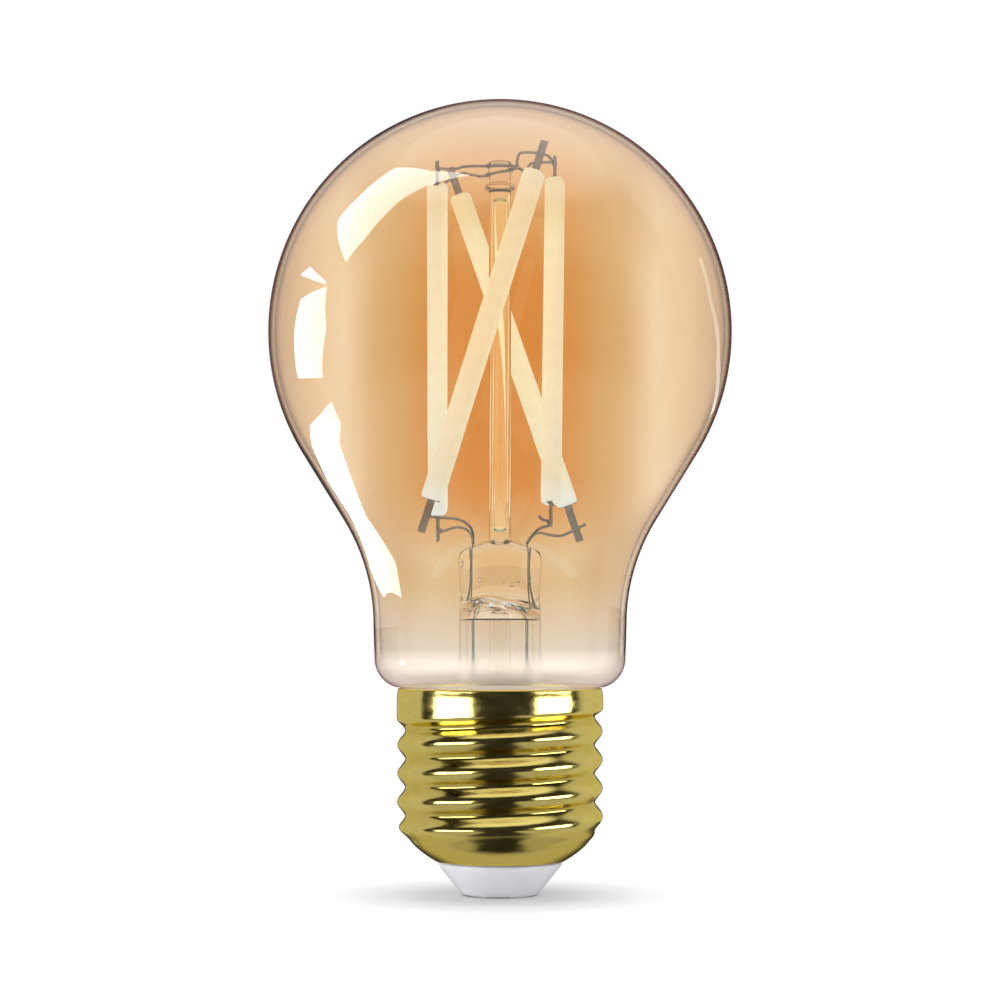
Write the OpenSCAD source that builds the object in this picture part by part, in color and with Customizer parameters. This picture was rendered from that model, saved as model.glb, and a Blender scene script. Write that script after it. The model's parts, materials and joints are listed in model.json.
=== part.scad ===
// Smart filament lamp: an A60 glass envelope on an E27 screw cap.
// Frame: the lamp's axis is Z, and the origin is the middle of the centre contact's lower face.
// The crown of the envelope points up, and -Y is the front.

/* [Envelope] */
// Height of the whole lamp, from the centre contact to the crown
lamp_h = 102.4; // [102:0.1:104]
// Largest diameter of the glass envelope
envelope_d = 60; // [59:0.5:61]
// Wall thickness of the glass envelope
glass_wall = 0.7; // [0.5:0.05:0.9]
// Diameter of the neck at the foot of its concave curve
neck_d = 32.6; // [32:0.1:33.4]
// Radius of the concave curve that joins the bulb to the neck
neck_curve_r = 26; // [24:0.5:28]
// Height of the foot of that curve
neck_foot_z = 34.4; // [33.8:0.1:35]

/* [Screw cap] */
// Diameter over the thread's crests
thread_crest_d = 26.4; // [26.1:0.05:26.45]
// Diameter at the thread's roots
thread_root_d = 24.4; // [24.3:0.05:24.6]
// Distance between neighbouring crests, which is 7 threads to the inch
thread_pitch = 3.629; // [3.6:0.001:3.65]
// Diameter of the plain collar above the thread
collar_d = 26.6; // [26.5:0.05:26.8]
// Height of the collar's upper rim
collar_top_z = 26.4; // [26.3:0.05:26.4]
// Sheet thickness of the brass shell
shell_wall = 0.3; // [0.25:0.01:0.32]
// Diameter of the centre contact's flat face
contact_d = 9.2; // [8.8:0.1:9.4]

/* [Filaments] */
// Length of the luminous coating on one filament
filament_l = 44; // [43.5:0.1:44.4]
// Width of the luminous coating
filament_w = 2.7; // [2.5:0.05:2.8]
// Thickness of the luminous coating
filament_t = 2.5; // [2.4:0.05:2.6]
// Number of chips in a row on one filament
chip_count = 24; // [16:1:24]
// Diameter of the nickel support wires and lead wires
wire_d = 0.42; // [0.36:0.02:0.42]

/* [Stem] */
// Outer diameter of the flare tube above its funnel
flare_d = 10.7; // [10.5:0.1:10.8]
// Outer diameter of the glass rod in the middle
rod_d = 2.9; // [2.7:0.1:3]
// Height of the rod's upper end, where the head sits
rod_top_z = 91.1; // [90.8:0.1:91.2]
// Width of the flattened press that holds the lead wires
press_w = 10.9; // [10.6:0.1:11.2]

/* [Hidden] */
$fn = 48;
eps = 0.02;

// Each filament has its name, the middle of its upper end, the middle of its lower end,
// and the lengths of its bare metal tabs above and below.
FILAMENTS = [
    ["front", [4.5, -6.7, 92.4], [-8.65, -6.7, 50.4], 4.0, 4.3],
    ["right", [7.25, 2.5, 93.3], [6.45, -5.5, 49.9], 3.2, 2.9],
    ["rear", [-5.55, 6.9, 92.3], [9.1, 6.3, 50.1], 4.0, 5.0],
    ["left", [-8.0, -6.3, 90.8], [-8.35, 9.3, 49.6], 2.9, 3.9]
];
FRONT = 0;
RIGHT = 1;
REAR = 2;
LEFT = 3;

// Glass colours and metal colours
AMBER = [0.87, 0.66, 0.42, 0.45];
CLEAR = [0.92, 0.90, 0.86, 0.5];
NICKEL = [0.52, 0.52, 0.54];
BRASS = [0.82, 0.72, 0.36];
COPPER = [0.80, 0.50, 0.30];

// ---- Small helpers ----

function unit(v) = v / norm(v);

// Points of an arc about [x, z], from angle a0 to a1, in n steps
function arc(centre, r, a0, a1, n) =
    [for (i = [0:n]) centre + r * [cos(a0 + (a1 - a0) * i / n), sin(a0 + (a1 - a0) * i / n)]];

function reversed(list) = [for (i = [len(list) - 1:-1:0]) list[i]];

function smooth(x) = let (t = min(1, max(0, x))) t * t * (3 - 2 * t);

function mix(a, b, t) = a + (b - a) * t;

// Outline of a rectangle w by h with round corners
function round_rect(w, h, r, n = 5) = [
    for (c = [[1, 1, 0], [-1, 1, 90], [-1, -1, 180], [1, -1, 270]])
        each arc([c[0] * (w / 2 - r), c[1] * (h / 2 - r)], r, c[2], c[2] + 90, n)
];

// A box from its lowest corner to its highest one
module block(low, high) {
    translate(low) cube(high - low);
}

// A cylinder along Z from its foot
module post(x, y, z0, z1, r) {
    translate([x, y, z0]) cylinder(r = r, h = z1 - z0);
}

// ---- Swept wires ----

function tangent(p, i) =
    i == 0 ? unit(p[1] - p[0])
    : i == len(p) - 1 ? unit(p[i] - p[i - 1])
    : unit(unit(p[i] - p[i - 1]) + unit(p[i + 1] - p[i]));

function square_to(v, t) = unit(v - (v * t) * t);

// The normal at each point, carried along so that the wire doesn't twist
function normals(p, i = 0, last = [0.31, 0.87, 0.38]) =
    i == len(p) ? []
    : let (n = square_to(last, tangent(p, i))) concat([n], normals(p, i + 1, n));

module wire(p, d, sides = 8) {
    n = normals(p);
    rings = [for (i = [0:len(p) - 1]) let (b = cross(tangent(p, i), n[i]))
        for (s = [0:sides - 1]) p[i] + d / 2 * (cos(s * 360 / sides) * n[i] + sin(s * 360 / sides) * b)];
    skin = [for (i = [0:len(p) - 2]) for (s = [0:sides - 1]) let (t = (s + 1) % sides)
        [i * sides + s, (i + 1) * sides + s, (i + 1) * sides + t, i * sides + t]];
    foot = [for (s = [0:sides - 1]) s];
    tip = [for (s = [sides - 1:-1:0]) (len(p) - 1) * sides + s];
    polyhedron(points = rings, faces = concat(skin, [foot, tip]));
}

// ---- Glass envelope ----

bulb_r = envelope_d / 2;
bulb_z = lamp_h - bulb_r;
neck_r = neck_d / 2;
shoulder_r = 3.85;
shoulder_z = 30.2;
shoulder_x = neck_r - 0.15 - shoulder_r;
seal_r = 11.4;
seal_z = 20.0;
// The wall leans by this angle between the bulb and the neck, where a line touches both curves.
reach = [neck_r + neck_curve_r, bulb_z - neck_foot_z];
taper = atan2(reach[1], reach[0]) - acos((bulb_r + neck_curve_r) / norm(reach));

// The wall's section from the crown down to the seal, at a depth below the outer face
function envelope_side(depth) = concat(
    arc([0, bulb_z], bulb_r - depth, 90, -taper, 40),
    arc([neck_r + neck_curve_r, neck_foot_z], neck_curve_r + depth, 180 - taper, 180, 12),
    arc([shoulder_x, shoulder_z], shoulder_r - depth, 0, -72, 12),
    [[12.75 - depth, collar_top_z + 0.08 + 0.8 * depth], [12.4 - depth, 26.1 + 0.8 * depth],
     [12.4 - depth, 23.8 + 0.4 * depth], [seal_r - depth, 22 + 0.4 * depth], [seal_r - depth, seal_z]]
);

module glass_envelope() {
    color(AMBER) rotate_extrude()
        polygon(concat(envelope_side(0), reversed(envelope_side(glass_wall))));
}

// ---- Stem ----

flare_r = flare_d / 2;
flare_wall = 0.9;
funnel_r = 6.2;
funnel_z = 28.1;
press_z0 = 35.1;
press_z1 = 45.6;
press_t = 5.4;
lead_x = 3.5;
lead_y = 0.9;
rod_bore_r = 0.8;

module stem_flare() {
    funnel = [flare_r + funnel_r, funnel_z];
    color(CLEAR) rotate_extrude() polygon(concat(
        [[flare_r, press_z0]], arc(funnel, funnel_r, 180, 245, 10),
        [[10.3, seal_z], [seal_r, seal_z], [seal_r, seal_z - 0.7], [9.9, seal_z - 0.7]],
        arc(funnel, funnel_r + flare_wall, 245, 180, 10), [[flare_r - flare_wall, press_z0]]
    ));
}

// Half of the press's outline, seen from the front and from the side
PRESS_FRONT = concat(
    [[flare_r, press_z0], [press_w / 2, press_z0 + 3.5]],
    arc([press_w / 2 - 1.6, press_z1 - 2.6], 1.6, 0, 60, 6),
    [[1.7, press_z1]]
);
PRESS_SIDE = concat(
    [[flare_r, press_z0], [press_t / 2, press_z0 + 4]],
    arc([press_t / 2 - 1, press_z1 - 1.4], 1, 0, 60, 5),
    [[1.5, press_z1]]
);

// A bar along Y whose outline is one half and its mirror image
module mirrored_bar(half) {
    rotate([90, 0, 0]) linear_extrude(2 * press_w, center = true)
        polygon(concat(half, [for (p = reversed(half)) [-p[0], p[1]]]));
}

module stem_press() {
    color(CLEAR) difference() {
        intersection() {
            mirrored_bar(PRESS_FRONT);
            rotate([0, 0, 90]) mirrored_bar(PRESS_SIDE);
            post(0, 0, press_z0, press_z1, press_w / 2);
        }
        for (x = [-lead_x, lead_x], y = [-lead_y, lead_y])
            post(x, y, press_z0 - 1, press_z1 + 1, wire_d / 2);
    }
}

module exhaust_tube() {
    color(CLEAR) rotate_extrude() polygon(concat(
        arc([0, 24.7], 1.35, -90, 0, 6), [[1.35, press_z0], [0.75, press_z0]],
        arc([0, 25.5], 0.75, 0, -90, 6)
    ));
}

module centre_rod() {
    color(CLEAR) difference() {
        post(0, 0, press_z1, rod_top_z, rod_d / 2);
        post(0, 0, press_z1 + 1, rod_top_z - 1, rod_bore_r);
    }
}

// The rod's head is melted round the middles of the two support wires.
head_h = 3.8;
UPPER_WIRE_ENDS = [[-2.2, 0, rod_top_z + 3.3], [1.9, 0, rod_top_z + 3.3]];
LOWER_WIRE_ENDS = [[-2.2, 0.2, rod_top_z + 2.0], [2.0, -0.6, rod_top_z + 2.85]];

module head_hole(ends) {
    run = ends[1] - ends[0];
    translate(ends[0]) rotate([0, acos(run[2] / norm(run)), atan2(run[1], run[0])])
        cylinder(r = wire_d / 2 + 0.005, h = norm(run));
}

module rod_head() {
    color(CLEAR) difference() {
        rotate_extrude() polygon(concat(
            [[0, rod_top_z]], arc([1.5, rod_top_z + 0.45], 0.45, -90, 90, 8),
            [[1.65, rod_top_z + 1.1]], arc([1.15, rod_top_z + head_h - 0.5], 0.5, 0, 90, 5),
            [[0, rod_top_z + head_h]]
        ));
        head_hole(UPPER_WIRE_ENDS);
        head_hole(LOWER_WIRE_ENDS);
    }
}

// ---- Filaments ----

function filament_top(k) = FILAMENTS[k][1];
function filament_foot(k) = FILAMENTS[k][2];
function filament_mid(k) = (filament_top(k) + filament_foot(k)) / 2;
function filament_up(k) = unit(filament_top(k) - filament_foot(k));
// The broad face looks outwards, square to the filament's length.
function filament_out(k) =
    square_to([filament_mid(k)[0], filament_mid(k)[1], 0], filament_up(k));
function filament_side(k) = cross(filament_out(k), filament_up(k));

module at_filament(k) {
    s = filament_side(k);
    o = filament_out(k);
    u = filament_up(k);
    m = filament_mid(k);
    multmatrix([
        [s[0], o[0], u[0], m[0]],
        [s[1], o[1], u[1], m[1]],
        [s[2], o[2], u[2], m[2]],
        [0, 0, 0, 1]
    ]) children();
}

strip_w = 1.6;
strip_t = 0.4;
strip_l = filament_l - 3;
chip_size = [0.9, 0.15, 0.6];
chip_pitch = (strip_l - 4) / chip_count;
tab_w = 1.0;
tab_t = 0.3;
jaw_w = 2.2;
jaw_t = 0.2;
jaw_l = 1.4;

module strip_shape() {
    translate([-strip_w / 2, -strip_t / 2, -strip_l / 2]) cube([strip_w, strip_t, strip_l]);
}

module chip_shapes() {
    for (i = [0:chip_count - 1])
        translate([-chip_size[0] / 2, strip_t / 2, (i - (chip_count - 1) / 2) * chip_pitch])
            translate([0, 0, -chip_size[2] / 2]) cube(chip_size);
}

// A clip at each end: two jaws that grip the strip, a bridge past its end, and the bare tab
module terminal_shapes(k) {
    for (end = [0, 1]) mirror([0, 0, end]) translate([0, 0, strip_l / 2]) {
        for (face = [0, 1]) mirror([0, face, 0])
            translate([-jaw_w / 2, strip_t / 2, -jaw_l]) cube([jaw_w, jaw_t, jaw_l + 0.6]);
        translate([-jaw_w / 2, -strip_t / 2, 0]) cube([jaw_w, strip_t, 0.6]);
        translate([-tab_w / 2, -tab_t / 2, 0.6])
            cube([tab_w, tab_t, (filament_l - strip_l) / 2 - 0.6 + FILAMENTS[k][3 + end]]);
    }
}

module filament_phosphor(k) {
    color([0.96, 0.87, 0.71]) at_filament(k) difference() {
        translate([0, 0, -filament_l / 2]) linear_extrude(filament_l)
            polygon(round_rect(filament_w, filament_t, 0.9));
        strip_shape();
        chip_shapes();
        terminal_shapes(k);
    }
}

module filament_substrate(k) {
    color([0.93, 0.93, 0.90]) at_filament(k) strip_shape();
}

module filament_chips(k) {
    color([0.55, 0.62, 0.85]) at_filament(k) chip_shapes();
}

module filament_terminals(k) {
    color(NICKEL) at_filament(k) terminal_shapes(k);
}

// ---- Wires inside the envelope ----

tab_gap = tab_t / 2 + wire_d / 2 + eps;

// A point beside a filament's tab: past its upper or lower end, on the inner face, and shifted sideways
function beside_tab(k, upper, past, shift) =
    (upper ? filament_mid(k) + filament_up(k) * (filament_l / 2 + past)
           : filament_mid(k) - filament_up(k) * (filament_l / 2 + past))
    - filament_out(k) * tab_gap + filament_side(k) * shift;

// Joins the tabs of the left and right filaments through the rod's head
upper_route = concat(
    [beside_tab(LEFT, true, 1.8, -0.6), beside_tab(LEFT, true, 1.8, 0.8)],
    [[-6.4, -4.9, 92.9], [-5.5, -3.2, 93.4], [-4.8, -1.9, 93.9], [-3.6, -0.5, 94.3]],
    UPPER_WIRE_ENDS,
    [[2.2, 0.1, 94.9], [2.4, 0.3, 95.8], [2.9, 0.6, 96.35], [4.8, 1.0, 96.4], [6.1, 1.4, 96.2]],
    [beside_tab(RIGHT, true, 2.5, 0.9), beside_tab(RIGHT, true, 2.3, -0.7)]
);

// Joins the tabs of the rear and front filaments through the rod's head
lower_route = concat(
    [beside_tab(REAR, true, 2.2, -1.3), beside_tab(REAR, true, 2.6, 0.9)],
    [[-4.7, 4.8, 94.5], [-3.9, 3, 93.9], [-3.1, 1.1, 93.4]],
    LOWER_WIRE_ENDS,
    [[2.5, -1.3, 93.8], [3.1, -2.7, 93.2], [3.5, -4.3, 93.1], [3.75, -5.3, 93.3]],
    [beside_tab(FRONT, true, 0.9, 0.7), beside_tab(FRONT, true, 1.6, -1.6)]
);

module support_wire_upper() {
    color(NICKEL) wire(upper_route, wire_d);
}

module support_wire_lower() {
    color(NICKEL) wire(lower_route, wire_d);
}

board_front_y = -1.5;
board_back_y = -0.5;

// From the board up through the flare and the press: sx is the side of the lamp, sy is -1 for the front pair
function lead_foot(sx, sy) = let (
    gap = wire_d / 2 + eps,
    face = sy < 0 ? board_front_y - gap : board_back_y + gap
) [
    [sx * 4.4, face, 16.7], [sx * 4.4, face, 19.7], [sx * 3.9, face + sy * 0.1, 22.6],
    [sx * lead_x, sy * lead_y, 27.1], [sx * lead_x, sy * lead_y, 45.2]
];

LEAD_ROUTES = [
    concat(lead_foot(-1, -1), [[-3.5, -1.5, 46.3], [-3.9, -2.6, 47.3], [-5.3, -4.4, 48.1]],
           [beside_tab(FRONT, false, 1.9, -1.2), beside_tab(FRONT, false, 2.2, 0.5)]),
    concat(lead_foot(1, -1), [[4.1, -1.6, 46.1], [4.8, -3.0, 46.8], [5.5, -4.3, 47.1]],
           [beside_tab(RIGHT, false, 2.6, -0.7), beside_tab(RIGHT, false, 2.3, 0.5)],
           [[5.4, -6.8, 47.9], [4.9, -6.7, 48.4]]),
    concat(lead_foot(1, 1), [[4.2, 1.5, 46.2], [5.2, 2.5, 46.7], [6.4, 3.8, 46.5], [8, 4.9, 46.4]],
           [beside_tab(REAR, false, 3.4, -0.9), beside_tab(REAR, false, 3.1, 1.5)]),
    concat(lead_foot(-1, 1), [[-3.6, 1.4, 46.1], [-4.1, 2.1, 46.9], [-4.9, 3.2, 47.4], [-6.1, 4.9, 47.5]],
           [beside_tab(LEFT, false, 2.4, -0.9), beside_tab(LEFT, false, 2.4, 0.6)])
];

module lead_wire(k) {
    color(NICKEL) wire(LEAD_ROUTES[k], wire_d);
}

// ---- Screw cap ----

crest_r = thread_crest_d / 2;
root_r = thread_root_d / 2;
collar_r = collar_d / 2;
shell_z0 = 4.4;
first_crest_z = 10.05;
bowl_end_z = 8.5;
collar_taper = 0.15;

// The bowl below the thread, as an arc that bulges outwards
function bowl_r(z) = let (h = min(z, bowl_end_z) - shell_z0) 8.35 + 1.72 * h - 0.19 * h * h;

// The thread's crests are a little wider than its valleys.
function thread_r(a, z) =
    let (phase = 360 * (z - first_crest_z) / thread_pitch - a)
    root_r + (crest_r - root_r) * pow((1 + cos(phase)) / 2, 0.8);

// The collar leans in a little below its rim.
function rim_r(z) = collar_r - collar_taper * smooth((z - collar_top_z + 1.3) / 1.3);

// Outer radius of the shell at angle a and height z
function shell_r(a, z) =
    let (
        screw = mix(bowl_r(z), thread_r(a, z), smooth((z - 6.9) / 2.3)),
        collar_start = 21.6 + 1.2 * (1 + cos(a)) / 2
    )
    mix(screw, max(screw, rim_r(z)), smooth((z - collar_start) / 1.1));

SHELL_SIDES = 44;
SHELL_LEVELS = concat(
    [shell_z0, 5.3, 6.2],
    [for (i = [0:36]) 7.1 + i * thread_pitch / 8],
    [24.2, collar_top_z - 1.3, collar_top_z - 0.65, collar_top_z - 0.1, collar_top_z]
);

module cap_shell() {
    top = len(SHELL_LEVELS) - 1;
    n = SHELL_SIDES;
    // The rim is rounded inwards by this much at the top.
    outer = [for (i = [0:top]) for (s = [0:n - 1]) let (a = s * 360 / n, z = SHELL_LEVELS[i])
        let (r = shell_r(a, z) - (i == top ? 0.1 : 0)) [r * cos(a), r * sin(a), z]];
    inner = [for (i = [0:top]) for (s = [0:n - 1]) let (a = s * 360 / n, z = SHELL_LEVELS[i])
        let (r = shell_r(a, z) - shell_wall) [r * cos(a), r * sin(a), z]];
    count = (top + 1) * n;
    walls = [for (i = [0:top - 1]) for (s = [0:n - 1]) let (t = (s + 1) % n, a = i * n, b = (i + 1) * n)
        each [[a + s, b + s, b + t, a + t], [count + a + s, count + a + t, count + b + t, count + b + s]]];
    rims = [for (s = [0:n - 1]) let (t = (s + 1) % n)
        each [[s, t, count + t, count + s],
              [top * n + s, count + top * n + s, count + top * n + t, top * n + t]]];
    color(BRASS) polyhedron(points = concat(outer, inner), faces = concat(walls, rims));
}

insulator_z0 = 0.2;
insulator_top_z = 6.2;
pin_r = 1.2;

module cap_insulator() {
    color([0.90, 0.90, 0.93]) rotate_extrude() polygon(concat(
        [[contact_d / 2 + eps, insulator_z0]], arc([4.8, insulator_z0 + 0.3], 0.3, -90, -45, 4),
        arc([7.35, 3.7], 0.8, -45, 35, 6),
        [[7.7, shell_z0 - eps], [7.7, shell_z0 + 0.7], [8.3, shell_z0 + 1.1]],
        [[8.3, insulator_top_z], [pin_r + eps, insulator_top_z], [pin_r + eps, 0.62]],
        [[contact_d / 2 + eps, 0.62]]
    ));
}

// A rivet: its flat head is the contact, and its shank holds the live wire.
module centre_contact() {
    color([0.72, 0.70, 0.66]) rotate_extrude() polygon([
        [0, 0], [contact_d / 2 - 0.15, 0], [contact_d / 2, 0.15], [contact_d / 2, 0.6],
        [pin_r, 0.6], [pin_r, insulator_top_z + 0.6], [0, insulator_top_z + 0.6]
    ]);
}

// The cement fills the gap between the glass and the collar.
cement_r = collar_r - shell_wall - collar_taper;

module cap_cement() {
    color([0.80, 0.78, 0.72]) rotate_extrude() polygon([
        [12.4 + eps, 24], [cement_r, 24], [cement_r, 25.6], [12.4 + eps, 25.6]
    ]);
}

liner_r = 11.6;
liner_wall = 0.5;
liner_z0 = 9.2;
liner_z1 = 18.4;

module cap_liner() {
    color([0.86, 0.86, 0.84]) difference() {
        post(0, 0, liner_z0, liner_z1, liner_r);
        post(0, 0, liner_z0 - 1, liner_z1 + 1, liner_r - liner_wall);
    }
}

// ---- Driver and radio ----

board_z0 = 7.6;
board_z1 = 18.9;
board_x = 9;
radio_y0 = 5.4;
radio_y1 = 6.2;

module driver_board() {
    color([0.16, 0.42, 0.24])
        block([-board_x, board_front_y, board_z0], [board_x, board_back_y, board_z1]);
}

module radio_board() {
    color([0.10, 0.22, 0.45]) block([-5.5, radio_y0, 8.4], [5.5, radio_y1, 21.3]);
}

module board_link_pins() {
    color([0.85, 0.75, 0.35]) for (i = [0:4])
        block([-2.6 + i * 1.27, board_back_y, 8.9], [-2.2 + i * 1.27, radio_y0, 9.3]);
}

module radio_chip() {
    color([0.12, 0.12, 0.13]) block([-2.2, radio_y1, 12], [2.2, radio_y1 + 0.8, 16.4]);
}

module radio_crystal() {
    color([0.75, 0.75, 0.78]) block([3, radio_y1, 13], [5, radio_y1 + 0.6, 15.5]);
}

// Rises past the flare's foot to the cap's rim, where the glass lets the signal out
antenna_route = [
    [3.6, radio_y1 + 0.25, 18.3], [3.6, radio_y1 + 0.25, 21.4], [3.2, 5.5, 22.6],
    [2.6, 4.2, 24.2], [2.4, 3.2, 26.2]
];

module antenna_wire() {
    color(COPPER) wire(antenna_route, 0.4);
}

module driver_chip() {
    color([0.12, 0.12, 0.13])
        block([-1.6, board_front_y - 1.5, 13.2], [2.4, board_front_y, 18]);
}

module channel_switches() {
    color([0.14, 0.14, 0.15]) for (x = [-0.2, 3.4])
        block([x, board_back_y, 14.4], [x + 2.6, board_back_y + 1.1, 17.4]);
}

module bridge_rectifier() {
    color([0.13, 0.13, 0.14])
        block([2.6, board_back_y, 9.9], [6.6, board_back_y + 1.6, 13.6]);
}

module surface_parts() {
    color([0.55, 0.45, 0.35]) {
        for (i = [0:4]) block([-7.6 + i * 1.5, board_back_y, 17], [-6.8 + i * 1.5, board_back_y + 0.5, 18.4]);
        for (i = [0:3]) block([-4.6 + i * 2.4, radio_y1, 9.4], [-3.2 + i * 2.4, radio_y1 + 0.45, 10.2]);
    }
}

bulk_centre = [-5.1, -5.2];

module bulk_capacitor() {
    color([0.78, 0.79, 0.80]) difference() {
        post(bulk_centre[0], bulk_centre[1], 8.2, 17.8, 3.0);
        post(bulk_centre[0], bulk_centre[1], 17.5, 18, 2.5);
    }
}

module capacitor_sleeve() {
    color([0.10, 0.16, 0.36]) difference() {
        post(bulk_centre[0], bulk_centre[1], 8.5, 17.5, 3.12);
        post(bulk_centre[0], bulk_centre[1], 8, 18, 3.0 + 0.01);
    }
}

module filter_capacitor() {
    color([0.85, 0.68, 0.20]) difference() {
        block([2.9, -6.2, 8.4], [8, board_front_y, 13]);
        block([3.3, -6.3, 12.7], [7.6, board_front_y - 0.4, 13.1]);
    }
}

coil_x = -4.9;
coil_z = 13.2;

// Places a shape along +Y, from the back of the driver board
module at_coil() {
    translate([coil_x, board_back_y, coil_z]) rotate([-90, 0, 0]) children();
}

module inductor_core() {
    color([0.25, 0.24, 0.24]) at_coil() {
        cylinder(r = 3, h = 0.9);
        translate([0, 0, 0.9]) cylinder(r = 1.2, h = 2.9);
        translate([0, 0, 3.8]) cylinder(r = 3, h = 0.9);
    }
}

module inductor_winding() {
    color(COPPER) at_coil() difference() {
        translate([0, 0, 0.9 + eps]) cylinder(r = 2.6, h = 2.9 - 2 * eps);
        cylinder(r = 1.2 + 0.01, h = 5);
    }
}

module surge_varistor() {
    color([0.20, 0.45, 0.70])
        translate([5.9, board_front_y, 16.2]) rotate([90, 0, 0]) cylinder(r = 2.5, h = 2);
}

fuse_centre = [7.6, 2.6];

module fusible_resistor() {
    color([0.45, 0.62, 0.50]) {
        post(fuse_centre[0], fuse_centre[1], 10.2, 15.2, 1.1);
        post(fuse_centre[0], fuse_centre[1], 9.2, 16.4, 0.3);
    }
}

line_route = [
    [0, 0.8, insulator_top_z + 0.9], [1.2, 1.4, 7.4], [3.4, 2.2, 7.7], [6.2, 2.6, 8.0],
    [7.5, 2.6, 8.5], [7.6, 2.6, 9.18]
];

module line_wire() {
    color([0.75, 0.15, 0.12]) wire(line_route, 0.5);
}

neutral_route = [
    [-8.2, board_back_y + 0.3, 15.3], [-8.2, board_back_y + 0.3, 17.9], [-8.9, board_back_y + 0.4, 18.6],
    [-10.2, board_back_y + 0.5, 18.95], [-12.6, board_back_y + 0.5, 19.1]
];

module neutral_wire() {
    color([0.20, 0.30, 0.60]) wire(neutral_route, 0.46);
}

module lead_solder_joints() {
    color([0.78, 0.78, 0.76]) for (x = [-4.4, 4.4]) {
        difference() {
            block([x - 0.6, board_front_y - 0.7, 15.7], [x + 0.6, board_front_y, 16.7 - eps]);
            block([x - 0.1, board_front_y - 1, 15.5], [x + 0.1, board_front_y - 0.5, 17]);
        }
        block([x - 0.6, board_back_y, 15.7 + (x > 0 ? 0.82 : 0)], [x + 0.6, board_back_y + 0.6, 16.7 - eps]);
    }
}

// ---- Assembly ----

glass_envelope();
stem_flare();
stem_press();
exhaust_tube();
centre_rod();
rod_head();
filament_phosphor(FRONT);  // filament_front_phosphor
filament_substrate(FRONT);  // filament_front_substrate
filament_chips(FRONT);  // filament_front_chips
filament_terminals(FRONT);  // filament_front_terminals
filament_phosphor(RIGHT);  // filament_right_phosphor
filament_substrate(RIGHT);  // filament_right_substrate
filament_chips(RIGHT);  // filament_right_chips
filament_terminals(RIGHT);  // filament_right_terminals
filament_phosphor(REAR);  // filament_rear_phosphor
filament_substrate(REAR);  // filament_rear_substrate
filament_chips(REAR);  // filament_rear_chips
filament_terminals(REAR);  // filament_rear_terminals
filament_phosphor(LEFT);  // filament_left_phosphor
filament_substrate(LEFT);  // filament_left_substrate
filament_chips(LEFT);  // filament_left_chips
filament_terminals(LEFT);  // filament_left_terminals
support_wire_upper();
support_wire_lower();
lead_wire(FRONT);  // lead_wire_front
lead_wire(RIGHT);  // lead_wire_right
lead_wire(REAR);  // lead_wire_rear
lead_wire(LEFT);  // lead_wire_left
cap_shell();
cap_insulator();
centre_contact();
cap_cement();
cap_liner();
driver_board();
radio_board();
board_link_pins();
radio_chip();
radio_crystal();
antenna_wire();
driver_chip();
channel_switches();
bridge_rectifier();
surface_parts();
bulk_capacitor();
capacitor_sleeve();
filter_capacitor();
inductor_core();
inductor_winding();
surge_varistor();
fusible_resistor();
line_wire();
neutral_wire();
lead_solder_joints();
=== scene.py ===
"""Looks for a smart filament lamp: amber glass, lit filaments, brass screw cap. Metres, in the CAD frame."""
import json
import math

import bmesh
import bpy
import numpy as np
from mathutils import Matrix, Vector


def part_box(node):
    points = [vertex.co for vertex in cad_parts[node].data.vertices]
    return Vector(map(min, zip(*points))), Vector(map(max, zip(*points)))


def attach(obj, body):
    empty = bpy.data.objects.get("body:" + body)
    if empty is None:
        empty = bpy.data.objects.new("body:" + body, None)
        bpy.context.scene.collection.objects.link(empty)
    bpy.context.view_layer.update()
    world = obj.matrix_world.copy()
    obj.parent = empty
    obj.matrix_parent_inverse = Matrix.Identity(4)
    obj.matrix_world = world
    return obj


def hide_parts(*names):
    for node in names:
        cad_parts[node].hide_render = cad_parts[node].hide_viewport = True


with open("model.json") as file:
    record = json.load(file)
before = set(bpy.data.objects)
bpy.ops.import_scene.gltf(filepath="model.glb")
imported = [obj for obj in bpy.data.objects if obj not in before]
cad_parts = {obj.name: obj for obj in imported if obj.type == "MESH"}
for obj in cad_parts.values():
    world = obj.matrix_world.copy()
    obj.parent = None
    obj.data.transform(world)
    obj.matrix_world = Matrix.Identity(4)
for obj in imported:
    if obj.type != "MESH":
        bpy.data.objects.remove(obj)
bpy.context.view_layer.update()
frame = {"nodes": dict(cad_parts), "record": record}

MM = 0.001
TURN = 2 * math.pi
SHARP_ANGLE = math.radians(38)


# ---- Mesh helpers. Lengths inside them are in millimetres; the mesh is made in metres. ----

def mesh_object(name, verts, faces, material, smooth=True, hollow_from=None):
    """A new object from points in millimetres. Points from hollow_from on belong to cavities inside it."""
    mesh = bpy.data.meshes.new(name)
    mesh.from_pydata([Vector(v) * MM for v in verts], [], faces)
    mesh.validate()
    work = bmesh.new()
    work.from_mesh(mesh)
    bmesh.ops.recalc_face_normals(work, faces=work.faces)
    if hollow_from is not None:
        inner = [face for face in work.faces if face.verts[0].index >= hollow_from]
        bmesh.ops.reverse_faces(work, faces=inner)
    for edge in work.edges:
        if len(edge.link_faces) == 2 and edge.calc_face_angle() > SHARP_ANGLE:
            edge.smooth = False
    work.to_mesh(mesh)
    work.free()
    mesh.polygons.foreach_set("use_smooth", [smooth] * len(mesh.polygons))
    mesh.materials.append(material)
    thing = bpy.data.objects.new(name, mesh)
    bpy.context.scene.collection.objects.link(thing)
    return thing


def join_parts(parts):
    """Several (verts, faces) as one."""
    verts = []
    faces = []
    for more_verts, more_faces in parts:
        start = len(verts)
        verts += [tuple(v) for v in more_verts]
        faces += [tuple(i + start for i in face) for face in more_faces]
    return verts, faces


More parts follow.
